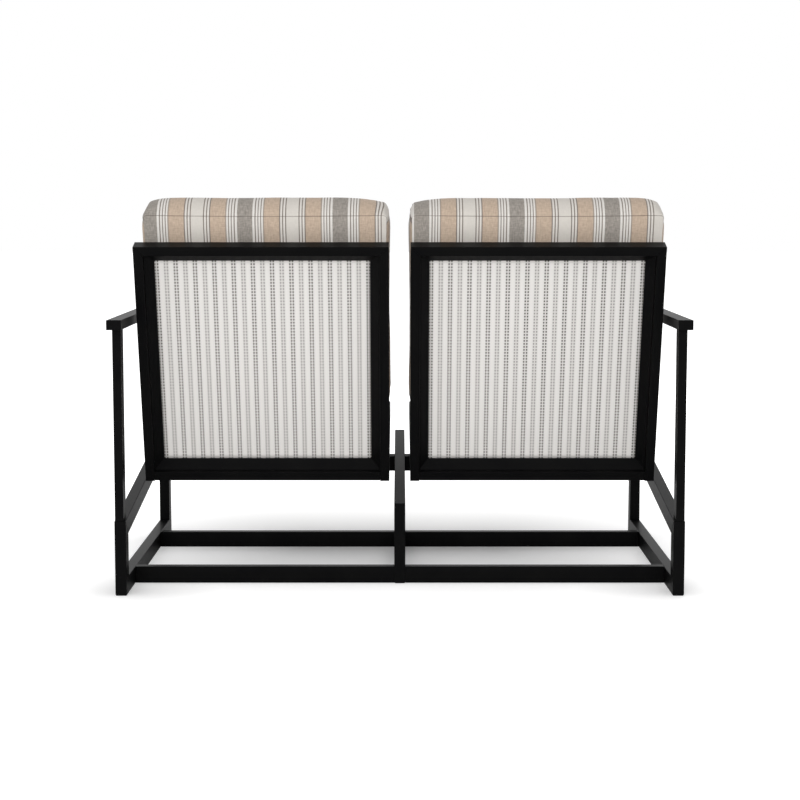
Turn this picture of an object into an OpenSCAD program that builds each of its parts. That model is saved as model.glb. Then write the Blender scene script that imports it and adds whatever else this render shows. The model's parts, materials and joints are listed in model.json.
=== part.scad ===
// Outdoor rocking bench: a static tube frame carries two separate bucket seats.
// Each bucket rocks on its own pivot above a bar that joins the sloped rails.
// Millimetres. X runs along the bench (+X is the sitter's left), the front faces -Y,
// Z is up, and the origin is on the floor under the middle of the bench.

/* [Base frame] */
// Width over the outsides of the two side loops
frame_w = 1266.8; // [1100:1:1500]
// Depth of the side loops, front to back
frame_d = 813; // [760:1:900]
// Width of a loop tube, seen from behind
tube_w = 25.4; // [20:0.1:32]
// Height of a loop tube, seen from the side
tube_h = 38.1; // [30:0.1:45]
// Wall of every tube
wall = 2.4; // [1.5:0.1:3.5]
// Upward slope of the seat rails towards the front, in degrees
seat_pitch = 7.5; // [4:0.5:10]
// Height of a side loop's rail top at its rear face
rear_rail_top = 168; // [150:1:200]
// How far the centre loop and the rear floor rail stand forward of the rear legs
centre_setback = 137; // [100:1:180]
// Distance from the rear legs' rear face to the front floor rail
front_rail_setback = 590; // [520:1:640]
// Height of a foot glide under the tubes
glide_t = 1.5; // [1:0.1:4]
// Length of a foot glide
glide_l = 36; // [20:1:60]

/* [Arms] */
// Height of the armrests' top face
arm_top = 617; // [580:1:650]
// Width of an armrest
arm_w = 32.6; // [26:0.1:45]
// Thickness of an armrest
arm_t = 22; // [14:0.5:25]
// How far an armrest runs past the legs, front and back
arm_overhang = 33; // [10:1:60]
// How far an armrest's inner edge stands inside its loop
arm_inset = 1; // [0:0.1:3]
// Width of an arm post
post_w = 19; // [16:0.1:23]
// How far an arm post's outer face stands inside its leg's
post_inset = 1.4; // [0:0.1:2.4]

/* [Buckets] */
// Gap between a bucket and the centre loop
inner_gap = 11.65; // [6:0.05:30]
// Gap between a bucket and its side loop
outer_gap = 9; // [6:0.05:30]
// Face width of the bucket rails and stiles
rail_w = 21.5; // [18:0.5:28]
// Depth of the bucket rails and stiles
rail_h = 38.1; // [32:0.1:45]
// Clear height between the bar's top and the bucket's underside
seat_gap = 36.5; // [34:0.5:50]
// Distance from the pivot to the front of the seat frame
seat_reach = 268; // [220:1:285]
// Distance from the pivot to the rear face of the back at its foot
back_reach = 293; // [260:1:330]
// How far the stiles' rear corners hang below the seat rails
stile_drop = 19.5; // [12:0.5:30]
// Length of the back stiles
back_l = 576; // [500:1:640]
// Lean of the back behind the square to the seat, in degrees
recline = 9; // [5:0.5:14]
// Thickness of the end plug under each stile
plug_t = 1.6; // [1:0.1:3]

/* [Slings] */
// Face width of the mitred rails that hold a sling
sling_rail_w = 21; // [14:0.5:24]
// Depth of the sling plane behind the outer face of a bucket's rails
sling_plane = 36.5; // [34:0.5:37.5]
// Edge of a sling rail where the sling runs in
sling_lip = 3.5; // [2.5:0.1:5]
// Recess of the back's sling rails behind the outer rails
back_recess = 12; // [6:0.5:20]
// Recess of the seat's sling rails above the underside of the outer rails
seat_recess = 21; // [20.5:0.5:26]
// Thickness of the woven sling
sling_t = 1.2; // [0.8:0.1:2]
// Gap between a sling frame and the bucket rails round it
sling_frame_gap = 0.3; // [0.2:0.1:1]

/* [Rocker] */
// Distance from the rear legs' rear face to the middle of the pivot bar
pivot_setback = 557.7; // [520:1:580]
// Depth of the pivot bar
bar_d = 25.4; // [20:0.1:32]
// Lean of a bucket at its rear stop, in degrees
rock_back = 12; // [8:0.5:14]
// Lean of a bucket at its front stop, in degrees
rock_forward = 6; // [4:0.5:8]
// Plate thickness of the saddle and its ears
saddle_t = 4; // [3:0.5:5]
// Width of the saddle over its ears
saddle_w = 180; // [150:1:220]
// Reach of each saddle wing from the pivot
wing_reach = 92; // [88:1:98]
// Drop of the wings' underside below the bar's top
wing_drop = 20; // [14:0.5:28]
// Plate thickness of the rocker frame and its ears
rocker_t = 4; // [3:0.5:5]
// Distance of each cross tube from the pivot
cross_reach = 88; // [84:1:110]
// Depth of a cross tube, front to back
cross_d = 25.4; // [20:0.1:30]
// Height of a cross tube
cross_h = 19; // [15:0.5:20]
// Diameter of the pivot shaft
shaft_d = 12; // [10:0.5:14]
// Wall of a pivot bush
bush_wall = 2; // [1.5:0.1:3]
// Flange height of a pivot bush
bush_flange_t = 0.8; // [0.5:0.1:1]
// Flange overlap round a pivot bush
bush_flange_w = 3; // [2:0.1:4]
// Radial running clearance of the shaft in its bushes
shaft_clearance = 0.05; // [0.02:0.01:0.1]
// Side clearance between the ears
ear_gap = 1.2; // [1.1:0.1:2]
// Clearance over the ears' round ends
ear_clearance = 0.8; // [0.5:0.1:1.2]
// Mean diameter of a coil spring
coil_d = 30; // [24:0.5:32]
// Wire diameter of a coil spring
wire_d = 4; // [3:0.1:4.5]
// Turns of a coil spring
coil_turns = 5; // [4:1:6]
// Distance of the springs from the pivot
spring_reach = 48; // [44:1:52]
// Distance of the springs from the bucket's middle
spring_offset = 45; // [36:1:50]
// Diameter of a rubber stop
bumper_d = 20; // [14:0.5:22]
// Distance of the rubber stops from the pivot
bumper_reach = 78; // [74:0.5:80]
// Gap left at a stop when the bucket reaches its limit
bumper_gap = 0.5; // [0.3:0.1:1]
// Diameter of a saddle bolt
bolt_d = 8; // [6:0.5:8]
// Distance of each saddle bolt from the bucket's middle
bolt_offset = 66; // [60:1:68]

/* [Cushions] */
// How far the cushions' sides stand out past a bucket's rails
cushion_outset = 0; // [0:0.5:3]
// Sideways set of the loose cushions towards the sitter's right
cushion_shift = 3; // [0:0.5:6]
// Thickness of a seat cushion at its seams
seat_cushion_t = 120; // [80:1:140]
// How far a seat cushion runs past the seat frame
seat_overhang = 12; // [0:1:25]
// Thickness of a back cushion at its seams
back_cushion_t = 104; // [70:1:125]
// Height of a back cushion's top along the stiles
back_cushion_top = 662; // [600:1:690]
// Rise of the crown over a cushion's seams
crown = 12; // [4:0.5:18]
// Bulge of the boxing band past the seams
boxing_bulge = 7; // [2:0.5:12]
// How far a cushion's sides pull in between its corners
draw_in = 4; // [0:0.5:10]
// Clearance of the cushions to what they rest on
cushion_gap = 0.3; // [0.3:0.1:1]

/* [Hidden] */
$fn = 48;
overrun = 60;
sides = [["left", 1], ["right", -1]];
// Heights in the seat's own frame, whose zero is the bar's top
plate_under = seat_gap - rocker_t;
pivot_h = (saddle_t + plate_under) / 2;
ear_r = (plate_under - saddle_t) / 2 - ear_clearance;
wing_top = saddle_t - wing_drop;
seat_top = seat_gap + rail_h;
back_foot = seat_gap - stile_drop;
// The saddle's channel stands a little off the bar
channel_gap_share = 0.02;
channel_in = bar_d / 2 * (1 + channel_gap_share);
rocker_ear_in = saddle_w / 2 + ear_gap;
shaft_l = 2 * (rocker_ear_in + rocker_t);
shaft_head_r = shaft_d * 0.75;
shaft_head_t = shaft_d / 3;
// A button-head bolt, in shares of its diameter
bolt_head_r = bolt_d * 0.85;
bolt_head_t = bolt_d * 0.55;
bolt_socket_r = bolt_d * 0.34;
bolt_socket_t = bolt_d * 0.3;
bolt_hole_r = bolt_d * 0.52;
bolt_grip = saddle_t + wall + bolt_d;
glide_w = tube_w * 0.9;
half_rail_l = frame_w / 2 - tube_w * 1.5;
// Where the bucket stands between the centre loop and a side loop, and its width
bucket_w = half_rail_l - inner_gap - outer_gap;
bucket_x = tube_w / 2 + inner_gap + bucket_w / 2;
cushion_w = bucket_w + 2 * cushion_outset;
sling_w = bucket_w - 2 * rail_w - 2 * sling_frame_gap;
back_sling_l = back_l - 2 * rail_w - 2 * sling_frame_gap;
// How far the sling frames' hollow runs on past its sloped sides
slope_run_share = 0.2;
// Springs: rings in a turn, sides of the wire and the gap at each seat
spring_rings = 8;
spring_sides = 6;
spring_seat_gap = wire_d * 0.05;
spring_h = plate_under - wing_top;
// Cushion outline: points round it, squareness of its corners, rings of a face,
// and where the band round the sides stands out in full
cushion_points = 40;
corner_share = 0.14;
face_ring_shares = [0.3, 0.62, 0.86];
band_shares = [0.3, 0.7];
// Crown left under the back cushion, near the seat cushion's rear edge
rear_crown_share = 0.55;
black = [0.09, 0.09, 0.095];
steel = [0.55, 0.56, 0.58];

// Height of the sloped rails' top at a distance d forward of the rear face
function rail_top(d) = rear_rail_top + d * tan(seat_pitch);

// Corner k of a loop, inset from its outline: rear foot, front foot, front top, rear top
function loop_corner(k, setback, inset) =
    let (
        d = (k == 0 || k == 3) ? setback + inset : frame_d - inset,
        z = k < 2 ? glide_t + inset : rail_top(d) - inset / cos(seat_pitch)
    )
    [frame_d / 2 - d, z];

// The four points of the tube that runs from corner k to the next one
function loop_quad(k, setback) = [
    loop_corner(k, setback, 0),
    loop_corner((k + 1) % 4, setback, 0),
    loop_corner((k + 1) % 4, setback, tube_h),
    loop_corner(k, setback, tube_h)
];

// The hollow inside a tube whose outline is the quad p, q, r, s, open at both ends
function core_quad(quad) =
    let (
        along = (quad[1] - quad[0]) / norm(quad[1] - quad[0]),
        turned = [-along[1], along[0]],
        inward = turned * sign((quad[3] - quad[0]) * turned)
    )
    [
        quad[0] + inward * wall - along * overrun,
        quad[1] + inward * wall + along * overrun,
        quad[2] - inward * wall + along * overrun,
        quad[3] - inward * wall - along * overrun
    ];

// Distance of the stiles' front plane from the pivot at a height z in the seat's frame
function stile_front(z) =
    back_reach - rail_h * cos(recline)
    + (z - back_foot - rail_h * sin(recline)) * tan(recline);

// Height of a rubber stop that ends just under the plate at its limit
function bumper_h(angle) =
    pivot_h + (plate_under - pivot_h) / cos(angle)
    - (bumper_reach + bumper_d / 2) * tan(angle) - bumper_gap - wing_top;

// A tube with mitred or sloped ends, its outline given as a quad, t thick
module quad_tube(quad, t) {
    difference() {
        linear_extrude(t) polygon(quad);
        translate([0, 0, wall]) linear_extrude(t - 2 * wall) polygon(core_quad(quad));
    }
}

// A side-view profile, drawn in Y and Z, extruded along X from x
module along_x(x) {
    translate([x, 0, 0]) rotate([90, 0, 90]) children();
}

// A straight tube along X, l long, with its section d by h
module cross_tube(l, d, h) {
    difference() {
        cube([l, d, h]);
        translate([-overrun, wall, wall])
            cube([l + 2 * overrun, d - 2 * wall, h - 2 * wall]);
    }
}

// The seat's own frame: tilted with the rails, its zero on top of the pivot bar
module in_seat_frame() {
    translate([0, frame_d / 2 - pivot_setback, rail_top(pivot_setback)])
        rotate([-seat_pitch, 0, 0]) children();
}

// One bucket's place in the seat's frame: x = 0 at its middle, +x towards the side loop
module in_bucket(side) {
    in_seat_frame() mirror([side < 0 ? 1 : 0, 0, 0]) translate([bucket_x, 0, 0]) children();
}

// The back's frame: z runs up the stiles from their rear feet, y = 0 is their rear face
module in_back(side) {
    in_bucket(side) translate([0, back_reach, back_foot]) rotate([-recline, 0, 0]) children();
}

// One tube of a loop, k as in loop_corner, with its outer side at x
module loop_tube(k, setback, x) {
    color(black) along_x(x) quad_tube(loop_quad(k, setback), tube_w);
}

module side_loop_tube(side, k) {
    loop_tube(k, 0, side > 0 ? frame_w / 2 - tube_w : -frame_w / 2);
}

module centre_loop_tube(k) {
    loop_tube(k, centre_setback, -tube_w / 2);
}

// Two half rails, one on each side of the centre loop
module floor_rails(setback) {
    color(black)
        for (x = [tube_w / 2, -tube_w / 2 - half_rail_l])
            translate([x, frame_d / 2 - setback - tube_w, glide_t])
                cross_tube(half_rail_l, tube_w, tube_h);
}

module foot_glides() {
    color([0.03, 0.03, 0.03])
        for (loop = [
            [frame_w / 2 - tube_w / 2, 0],
            [0, centre_setback],
            [tube_w / 2 - frame_w / 2, 0]
        ])
            for (d = [loop[1] + tube_h / 2, frame_d - tube_h / 2])
                translate([loop[0] - glide_w / 2, frame_d / 2 - d - glide_l / 2, 0])
                    cube([glide_w, glide_l, glide_t]);
}

// An upright from a loop's sloped top to the armrest, its rear face at distance d
module arm_post(side, d) {
    x = frame_w / 2 - post_inset - post_w;
    quad = [
        [frame_d / 2 - d, rail_top(d)],
        [frame_d / 2 - d, arm_top - arm_t],
        [frame_d / 2 - d - tube_h, arm_top - arm_t],
        [frame_d / 2 - d - tube_h, rail_top(d + tube_h)]
    ];
    color(black) along_x(side > 0 ? x : -x - post_w) quad_tube(quad, post_w);
}

module armrest(side) {
    x = frame_w / 2 - tube_w - arm_inset;
    color(black)
        translate([side > 0 ? x : -x - arm_w, -frame_d / 2 - arm_overhang, arm_top - arm_t])
            cube([arm_w, frame_d + 2 * arm_overhang, arm_t]);
}

module pivot_bar(side) {
    color(black)
        in_bucket(side)
            difference() {
                translate([tube_w / 2 - bucket_x, -bar_d / 2, -tube_h])
                    cross_tube(half_rail_l, bar_d, tube_h);
                bolt_places() translate([0, 0, -overrun / 2]) cylinder(overrun, r = bolt_hole_r);
            }
}

module bolt_places() {
    for (x = [-bolt_offset, bolt_offset])
        translate([x, 0, 0]) children();
}

// Button-head bolts that hold the saddles to the pivot bars
module saddle_bolts() {
    color(steel)
        for (side = sides)
            in_bucket(side[1]) bolt_places()
                difference() {
                    union() {
                        translate([0, 0, saddle_t]) cylinder(bolt_head_t, r = bolt_head_r);
                        translate([0, 0, saddle_t - bolt_grip]) cylinder(bolt_grip, r = bolt_d / 2);
                    }
                    translate([0, 0, saddle_t + bolt_head_t - bolt_socket_t])
                        cylinder(overrun, r = bolt_socket_r, $fn = 6);
                }
}

// An ear in the YZ plane: a round end on the pivot and a straight foot at height z
module ear(z, bore_r) {
    difference() {
        union() {
            translate([0, pivot_h]) circle(ear_r);
            translate([-ear_r, min(z, pivot_h)]) square([2 * ear_r, abs(z - pivot_h)]);
        }
        translate([0, pivot_h]) circle(bore_r);
    }
}

// A bent plate over the pivot bar, with two wings for springs and two ears
module saddle(side) {
    channel = [
        [-wing_reach, wing_top], [-channel_in - saddle_t, wing_top],
        [-channel_in - saddle_t, saddle_t], [channel_in + saddle_t, saddle_t],
        [channel_in + saddle_t, wing_top], [wing_reach, wing_top],
        [wing_reach, -wing_drop], [channel_in, -wing_drop],
        [channel_in, 0], [-channel_in, 0],
        [-channel_in, -wing_drop], [-wing_reach, -wing_drop]
    ];
    color(steel)
        in_bucket(side) {
            difference() {
                along_x(-saddle_w / 2) linear_extrude(saddle_w) polygon(channel);
                bolt_places() cylinder(overrun, r = bolt_hole_r);
            }
            for (x = [-saddle_w / 2, saddle_w / 2 - saddle_t])
                along_x(x) linear_extrude(saddle_t) ear(saddle_t, shaft_d / 2 + bush_wall);
        }
}

// Flanged bushes in the saddles' ears
module pivot_bushes() {
    outer_r = shaft_d / 2 + bush_wall;
    color([0.75, 0.72, 0.62])
        for (side = sides, end = [0, 1])
            in_bucket(side[1]) mirror([end, 0, 0])
                translate([saddle_w / 2, 0, pivot_h]) rotate([0, 90, 0])
                    difference() {
                        union() {
                            translate([0, 0, -saddle_t]) cylinder(saddle_t, r = outer_r);
                            cylinder(bush_flange_t, r = outer_r + bush_flange_w);
                        }
                        translate([0, 0, -overrun / 2])
                            cylinder(overrun, r = shaft_d / 2 + shaft_clearance);
                    }
}

// Two cross tubes between the seat rails, with a plate and two ears under them
module rocker_frame(side) {
    tube_l = bucket_w - 2 * rail_w;
    plate_l = 2 * cross_reach + cross_d;
    color(steel)
        in_bucket(side) {
            for (y = [-cross_reach, cross_reach])
                translate([-tube_l / 2, y - cross_d / 2, seat_gap])
                    cross_tube(tube_l, cross_d, cross_h);
            translate([-shaft_l / 2, -plate_l / 2, plate_under]) cube([shaft_l, plate_l, rocker_t]);
            for (x = [-shaft_l / 2, rocker_ear_in])
                along_x(x) linear_extrude(rocker_t) ear(plate_under, shaft_d / 2);
        }
}

module pivot_shaft(side) {
    color(steel)
        in_bucket(side) translate([-shaft_l / 2, 0, pivot_h]) rotate([0, 90, 0]) {
            cylinder(shaft_l, r = shaft_d / 2);
            translate([0, 0, -shaft_head_t]) cylinder(shaft_head_t, r = shaft_head_r);
            translate([0, 0, shaft_l]) cylinder(shaft_head_t, r = shaft_head_r);
        }
}

// Rubber stops on the wings: the front pair is taller than the rear pair
module stop_bumpers() {
    color([0.05, 0.05, 0.05])
        for (side = sides)
            in_bucket(side[1]) {
                translate([0, -bumper_reach, wing_top])
                    cylinder(bumper_h(rock_forward), r = bumper_d / 2);
                translate([0, bumper_reach, wing_top])
                    cylinder(bumper_h(rock_back), r = bumper_d / 2);
            }
}

// Centre of ring i of a coil spring that stands on its wing
function coil_centre(i) =
    let (
        turn = i / spring_rings,
        low = wire_d / 2 + spring_seat_gap,
        rise = spring_h - wire_d - 2 * spring_seat_gap
    )
    [
        coil_d / 2 * cos(360 * turn),
        coil_d / 2 * sin(360 * turn),
        low + rise * turn / coil_turns
    ];

// Point j of the wire's section at ring i
function coil_point(i, j) =
    let (
        centre = coil_centre(i),
        around = 360 * j / spring_sides,
        out = wire_d / 2 * cos(around) / (coil_d / 2)
    )
    [centre[0] * (1 + out), centre[1] * (1 + out), centre[2] + wire_d / 2 * sin(around)];

// One unbroken wire: rings of points joined by triangles, with flat ends
module coil_spring() {
    last = spring_rings * coil_turns;
    points = [for (i = [0:last], j = [0:spring_sides - 1]) coil_point(i, j)];
    walls = [
        for (i = [0:last - 1], j = [0:spring_sides - 1])
            let (
                a = i * spring_sides + j,
                b = i * spring_sides + (j + 1) % spring_sides
            )
            each [[a, a + spring_sides, b], [b, a + spring_sides, b + spring_sides]]
    ];
    start = [for (j = [0:spring_sides - 1]) j];
    end = [for (j = [spring_sides - 1:-1:0]) last * spring_sides + j];
    polyhedron(points, concat(walls, [start, end]), convexity = 8);
}

least_gap = min([
    for (i = [0:spring_rings * (coil_turns - 1)])
        norm(coil_centre(i + spring_rings) - coil_centre(i))
]) - wire_d;
echo(str("Coil springs: least gap between turns ", least_gap, " mm"));

module springs(side) {
    color(steel)
        in_bucket(side)
            for (x = [-spring_offset, spring_offset], y = [-spring_reach, spring_reach])
                translate([x, y, wing_top]) coil_spring();
}

// One stile of the back, mitred at the top, plugged at the foot
module back_stile(side, outer) {
    x = bucket_w / 2;
    quad = [[x, 0], [x, back_l], [x - rail_w, back_l - rail_w], [x - rail_w, 0]];
    color(black)
        in_back(side) mirror([outer ? 0 : 1, 0, 0]) {
            rotate([90, 0, 0]) quad_tube(quad, rail_h);
            translate([x - rail_w, -rail_h, -plug_t]) cube([rail_w, rail_h, plug_t]);
        }
}

module back_top_rail(side) {
    x = bucket_w / 2;
    quad = [
        [-x, back_l], [x, back_l],
        [x - rail_w, back_l - rail_w], [rail_w - x, back_l - rail_w]
    ];
    color(black) in_back(side) rotate([90, 0, 0]) quad_tube(quad, rail_h);
}

module back_bottom_rail(side) {
    rail_l = bucket_w - 2 * rail_w;
    color(black)
        in_back(side) translate([-rail_l / 2, -rail_h, 0]) cross_tube(rail_l, rail_h, rail_w);
}

// A seat rail that runs forward from the stile's front face
module seat_side_rail(side, outer) {
    quad = [
        [stile_front(seat_gap), seat_gap],
        [-seat_reach, seat_gap],
        [-seat_reach, seat_top],
        [stile_front(seat_top), seat_top]
    ];
    color(black)
        in_bucket(side) mirror([outer ? 0 : 1, 0, 0])
            along_x(bucket_w / 2 - rail_w) quad_tube(quad, rail_w);
}

module seat_front_rail(side) {
    rail_l = bucket_w - 2 * rail_w;
    color(black)
        in_bucket(side) translate([-rail_l / 2, -seat_reach, seat_gap])
            cross_tube(rail_l, rail_w, rail_h);
}

// Section of a sling frame's hollow, w wide over the frame: its sides slope in from the
// outline at the recess to the sling, then run straight through the lip
function hollow_section(w, recess) =
    let (
        half = w / 2,
        inner = half - sling_rail_w,
        lip_z = sling_plane - sling_lip,
        past_x = sling_rail_w * slope_run_share,
        past_z = (lip_z - recess) * slope_run_share
    )
    [
        [-half - past_x, recess - past_z], [half + past_x, recess - past_z],
        [inner, lip_z], [inner, sling_plane + past_z],
        [-inner, sling_plane + past_z], [-inner, lip_z]
    ];

// A mitred frame of sling rails, w wide and l long from y = 0
module sling_frame(w, l, recess) {
    difference() {
        translate([-w / 2, 0, recess]) cube([w, l, sling_plane - recess]);
        intersection() {
            translate([0, -overrun, 0])
                rotate([90, 0, 0])
                    mirror([0, 0, 1])
                        linear_extrude(l + 2 * overrun) polygon(hollow_section(w, recess));
            translate([0, l / 2, 0])
                along_x(-w / 2 - overrun)
                    linear_extrude(w + 2 * overrun) polygon(hollow_section(l, recess));
        }
    }
}

// The woven sheet that fills a sling frame
module sling(w, l) {
    low = sling_plane - (sling_lip + sling_t) / 2;
    translate([sling_rail_w - w / 2, sling_rail_w, low])
        cube([w - 2 * sling_rail_w, l - 2 * sling_rail_w, sling_t]);
}

module place_back_sling(side) {
    in_back(side) rotate([90, 0, 0]) translate([0, rail_w + sling_frame_gap, 0]) children();
}

module place_seat_sling(side) {
    in_bucket(side) translate([0, rail_w + sling_frame_gap - seat_reach, seat_gap]) children();
}

// The seat's sling frame ends just before the back's front face
seat_sling_l = stile_front(seat_gap) + seat_reach - rail_w - 2 * sling_frame_gap;

module back_sling_frame(side) {
    color(black) place_back_sling(side) sling_frame(sling_w, back_sling_l, back_recess);
}

module back_sling(side) {
    color([0.92, 0.91, 0.88]) place_back_sling(side) sling(sling_w, back_sling_l);
}

module seat_sling_frame(side) {
    color(black) place_seat_sling(side) sling_frame(sling_w, seat_sling_l, seat_recess);
}

module seat_sling(side) {
    color([0.92, 0.91, 0.88]) place_seat_sling(side) sling(sling_w, seat_sling_l);
}

// Point i of a cushion's outline: a squarish round whose sides pull in between corners
function outline_point(i, half_w, half_l) =
    let (
        a = 360 * (i + 0.5) / cushion_points,
        px = sign(cos(a)) * pow(abs(cos(a)), corner_share),
        py = sign(sin(a)) * pow(abs(sin(a)), corner_share)
    )
    [
        half_w * px - draw_in * px * (1 - py * py),
        half_l * py - draw_in * py * (1 - px * px)
    ];

// A cushion centred on z: w by l at its widest, t thick at the seams, with a crown on
// each face and a band round its sides that bulges past the seams
module cushion(w, l, t, low_crown, high_crown) {
    half_w = w / 2;
    half_l = l / 2;
    faces_up = [for (s = face_ring_shares) [s, t + high_crown * (1 - pow(s, 3))]];
    faces_down = [for (s = face_ring_shares) [s, -low_crown * (1 - pow(s, 3))]];
    count = len(face_ring_shares);
    // Each ring is a share of the outline, an inset and a height
    rings = concat(
        [for (f = faces_down) [f[0], boxing_bulge, f[1]]],
        [[1, boxing_bulge, 0]],
        [for (s = band_shares) [1, 0, t * s]],
        [[1, boxing_bulge, t]],
        [for (k = [count - 1:-1:0]) [faces_up[k][0], boxing_bulge, faces_up[k][1]]]
    );
    n = cushion_points;
    points = concat(
        [
            for (r = rings, i = [0:n - 1])
                let (p = outline_point(i, half_w - r[1], half_l - r[1]) * r[0])
                [p[0], p[1], r[2]]
        ],
        [[0, 0, -low_crown], [0, 0, t + high_crown]]
    );
    last = len(rings) - 1;
    walls = [
        for (k = [0:last - 1], i = [0:n - 1])
            let (a = k * n + i, b = k * n + (i + 1) % n)
            each [[a, b + n, b], [a, a + n, b + n]]
    ];
    bottom = [for (i = [0:n - 1]) [i, (i + 1) % n, (last + 1) * n]];
    top = [for (i = [0:n - 1]) [last * n + (i + 1) % n, last * n + i, (last + 1) * n + 1]];
    polyhedron(points, concat(walls, bottom, top), convexity = 4);
}

// The seat cushion lies on the rails, from the front overhang to the back's face
module seat_cushion(side) {
    rear = stile_front(seat_top) - cushion_gap;
    front = -seat_reach - seat_overhang;
    color([0.78, 0.73, 0.66])
        in_bucket(side)
            translate([-side * cushion_shift, (rear + front) / 2, seat_top + cushion_gap])
                cushion(cushion_w, rear - front, seat_cushion_t, 0, crown);
}

// The back cushion stands on the seat cushion and leans on the back's rails
module back_cushion(side) {
    seat_cushion_top = seat_top + cushion_gap + seat_cushion_t + crown * rear_crown_share;
    low = (seat_cushion_top + cushion_gap - back_foot - rail_h * sin(recline)) / cos(recline);
    color([0.78, 0.73, 0.66])
        in_back(side)
            translate([-side * cushion_shift, -rail_h - cushion_gap, (low + back_cushion_top) / 2])
                rotate([90, 0, 0])
                    cushion(cushion_w, back_cushion_top - low, back_cushion_t, 0, crown);
}

side_loop_tube(1, 3);  // left_rear_leg
side_loop_tube(1, 1);  // left_front_leg
side_loop_tube(1, 0);  // left_floor_rail
side_loop_tube(1, 2);  // left_seat_rail
side_loop_tube(-1, 3);  // right_rear_leg
side_loop_tube(-1, 1);  // right_front_leg
side_loop_tube(-1, 0);  // right_floor_rail
side_loop_tube(-1, 2);  // right_seat_rail
centre_loop_tube(3);  // centre_rear_leg
centre_loop_tube(1);  // centre_front_leg
centre_loop_tube(0);  // centre_floor_rail
centre_loop_tube(2);  // centre_seat_rail
floor_rails(centre_setback);  // rear_floor_rails
floor_rails(front_rail_setback);  // front_floor_rails
foot_glides();
saddle_bolts();
pivot_bushes();
stop_bumpers();
for (s = sides) {
    pivot_bar(s[1]);
    arm_post(s[1], 0);
    arm_post(s[1], frame_d - tube_h);
    armrest(s[1]);
    saddle(s[1]);
    springs(s[1]);
    back_stile(s[1], true);
    back_stile(s[1], false);
    back_top_rail(s[1]);
    back_bottom_rail(s[1]);
    back_sling_frame(s[1]);
    back_sling(s[1]);
    seat_side_rail(s[1], true);
    seat_side_rail(s[1], false);
    seat_front_rail(s[1]);
    seat_sling_frame(s[1]);
    seat_sling(s[1]);
    rocker_frame(s[1]);
    pivot_shaft(s[1]);
    seat_cushion(s[1]);
    back_cushion(s[1]);
}
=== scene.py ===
# %% [markdown]
# # A two-seat rocking bench, dressed for a studio picture
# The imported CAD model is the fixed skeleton: welded tubes, two sprung buckets and their hinges.
# Blender adds what CAD leaves plain: the coat on the metal, the woven slings, the sewn
# cushions with their stripes, and real spring wire. Everything is in metres, +Z up.

# %% Load the frame
import json
import math

import bpy
import numpy as np
from mathutils import Matrix, Vector, noise


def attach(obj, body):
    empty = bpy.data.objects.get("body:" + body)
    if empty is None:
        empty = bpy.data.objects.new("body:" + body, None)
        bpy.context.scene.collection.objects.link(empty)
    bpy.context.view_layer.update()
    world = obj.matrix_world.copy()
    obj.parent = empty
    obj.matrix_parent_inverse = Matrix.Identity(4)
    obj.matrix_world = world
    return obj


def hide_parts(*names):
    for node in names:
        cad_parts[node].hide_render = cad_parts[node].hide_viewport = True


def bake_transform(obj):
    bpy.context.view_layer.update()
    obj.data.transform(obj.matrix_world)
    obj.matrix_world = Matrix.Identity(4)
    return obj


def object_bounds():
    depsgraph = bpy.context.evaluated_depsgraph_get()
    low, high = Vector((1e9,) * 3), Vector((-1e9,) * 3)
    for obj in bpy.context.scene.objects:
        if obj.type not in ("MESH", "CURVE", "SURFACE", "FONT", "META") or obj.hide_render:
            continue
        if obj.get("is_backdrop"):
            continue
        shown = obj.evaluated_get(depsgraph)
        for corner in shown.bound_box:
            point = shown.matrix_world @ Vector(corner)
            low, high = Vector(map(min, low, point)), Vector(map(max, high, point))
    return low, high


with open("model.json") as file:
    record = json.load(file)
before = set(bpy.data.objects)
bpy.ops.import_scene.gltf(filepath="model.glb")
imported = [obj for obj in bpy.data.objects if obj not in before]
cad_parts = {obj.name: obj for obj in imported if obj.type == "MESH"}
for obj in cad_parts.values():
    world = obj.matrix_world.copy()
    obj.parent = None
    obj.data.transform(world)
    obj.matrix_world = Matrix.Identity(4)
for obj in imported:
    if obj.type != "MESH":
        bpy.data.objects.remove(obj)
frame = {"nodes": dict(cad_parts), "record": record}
cad_box = [list(corner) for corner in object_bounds()]
scene = bpy.context.scene
nodes = frame["nodes"]
print("CAD nodes:", len(nodes), "box:", [round(b - a, 4) for a, b in zip(*cad_box)])

# %% [markdown]
# ## The camera
# The photograph looks at the back of the bench from a little above. Its perspective was solved
# from the tubes, which were read as the usual section of 25.4 x 38.1 mm: a long lens, tilted
# 6 degrees down, with the rear legs 4.05 m away. A long lens keeps the uprights nearly
# parallel, as a catalogue picture does.

# %% Camera
PHOTO_SIDE, FOCAL_PX = 800, 1850
SENSOR_MM, TILT_DOWN = 36, 6
REAR_FACE_Y, CAMERA_BACK, CAMERA_UP = 0.4065, 4.054, 0.865
camera_data = bpy.data.cameras.new("photo_camera")
camera_data.sensor_width = SENSOR_MM
camera_data.lens = FOCAL_PX * SENSOR_MM / PHOTO_SIDE
camera_data.shift_x = 0.0003
camera_data.clip_end = 100
camera = bpy.data.objects.new("photo_camera", camera_data)
camera.location = (0, REAR_FACE_Y + CAMERA_BACK, CAMERA_UP)
camera.rotation_euler = (math.radians(90 - TILT_DOWN), 0, math.radians(180))
scene.collection.objects.link(camera)
scene.camera = camera
print("lens", round(camera_data.lens, 2), "mm")

# %% [markdown]
# ## Helpers for materials
# Colours are written as sRGB hex, as a paint card or a screen shows them. Shaders add light,
# so they need linear values, and one function does that turn. Another adds a node with its
# settings, its colour stops and its inputs, where an input is a number or the node that feeds
# it. So a material reads as a list of steps. The scene is in metres, so a pattern's scale is
# 1000 divided by its size in millimetres.

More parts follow.
